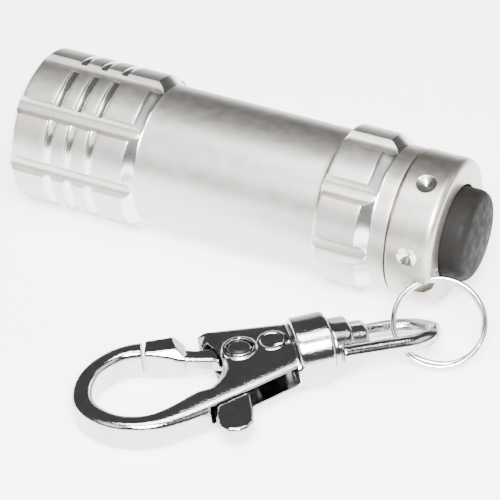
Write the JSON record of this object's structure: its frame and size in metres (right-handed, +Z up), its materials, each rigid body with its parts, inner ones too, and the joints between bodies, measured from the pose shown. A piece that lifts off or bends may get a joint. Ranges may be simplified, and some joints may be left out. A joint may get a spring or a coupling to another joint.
{
  "type": "keychain flashlight",
  "caption": "Small metal torch with a fluted head and a push button on its tail, joined by a split ring to a pear-shaped spring-gate key hook.",
  "frame": {"origin": "middle of the footprint on the table that the torch and the hook lie on", "axes": "+X along the torch from its lens end to its button end, +Y across the torch away from the hook, +Z up"},
  "size_m": [0.0688, 0.0576, 0.0209],
  "materials": {
    "anodised_body": "satin bead-blasted anodising with bright cut edges",
    "anodised_cap": "satin bead-blasted anodising, a little warmer than the body",
    "button_rubber": "matte black",
    "oring_rubber": "smooth black",
    "hook_chrome": "polished chrome plate on cast metal",
    "ring_steel": "polished spring wire",
    "spring_steel": "bright drawn wire",
    "lens_glass": "clear",
    "reflector_metal": "polished",
    "board_green": "lacquered circuit board",
    "led_white": "clear dome over yellow phosphor",
    "cell_steel": "nickel-plated",
    "inner_plastic": "moulded black",
    "contact_brass": "bright"
  },
  "bodies": {
    "torch": {"torch_body": "anodised_body", "front_ring": "anodised_body", "lens": "lens_glass", "lens_oring": "oring_rubber", "reflector": "reflector_metal", "led": "led_white", "led_board": "board_green", "driver_board": "board_green", "front_contact_spring": "contact_brass", "battery_sleeve": "inner_plastic", "cell_1": "cell_steel", "cell_2": "cell_steel", "cell_3": "cell_steel", "cell_4": "cell_steel"},
    "switch_module": {"switch_housing": "inner_plastic", "switch_spring": "spring_steel", "tail_contact_spring": "contact_brass"},
    "plunger": {"switch_plunger": "inner_plastic"},
    "tail_cap": {"tail_cap": "anodised_cap", "cap_oring": "oring_rubber", "switch_retainer": "contact_brass"},
    "button": {"push_button": "button_rubber"},
    "ring": {"split_ring": "ring_steel"},
    "eye": {"swivel_eye": "hook_chrome"},
    "hook": {"hook_body": "hook_chrome", "gate_rivet": "hook_chrome", "gate_spring": "spring_steel"},
    "gate": {"hook_gate": "hook_chrome"}
  },
  "joints": [
    {"name": "cap_travel", "type": "slide", "parent": "torch", "child": "switch_module", "axis": [1, 0, 0], "range_m": [0, 0.003]},
    {"name": "cap_unscrew", "type": "hinge", "parent": "switch_module", "child": "tail_cap", "pos_m": [0.02, 0.01837, 0.01043], "axis": [1, 0, 0], "range_deg": [0, 1085]},
    {"name": "button_press", "type": "slide", "parent": "tail_cap", "child": "button", "axis": [-1, 0, 0], "range_m": [0, 0.0012], "stiffness_N_per_m": 400},
    {"name": "plunger_travel", "type": "slide", "parent": "switch_module", "child": "plunger", "axis": [-1, 0, 0], "range_m": [0, 0.0012], "deforming": ["switch_spring"]},
    {"name": "ring_swing", "type": "hinge", "parent": "tail_cap", "child": "ring", "pos_m": [0.02491, 0.01008, 0.00747], "axis": [0.7664, 0.5284, 0.3653], "range_deg": [-50, 30]},
    {"name": "eye_swing", "type": "hinge", "parent": "ring", "child": "eye", "pos_m": [0.0235, 0.00386, 0.00358], "axis": [0.491, -0.6301, -0.6016], "range_deg": [-45, 45]},
    {"name": "hook_spin", "type": "hinge", "parent": "eye", "child": "hook", "pos_m": [0.01597, -0.0057, 0.00471], "axis": [0.721, 0.6914, -0.0471], "continuous": true},
    {"name": "gate_open", "type": "hinge", "parent": "hook", "child": "gate", "pos_m": [0.00886, -0.01039, 0.00395], "axis": [-0.0686, -0.0565, 0.996], "range_deg": [0, 28], "stiffness_Nm_per_rad": 0.02, "deforming": ["gate_spring"]}
  ],
  "couplings": [
    {"joint": "cap_unscrew", "follows": "cap_travel", "rad_per_m": 6283.2},
    {"joint": "plunger_travel", "follows": "button_press", "ratio": 1}
  ]
}
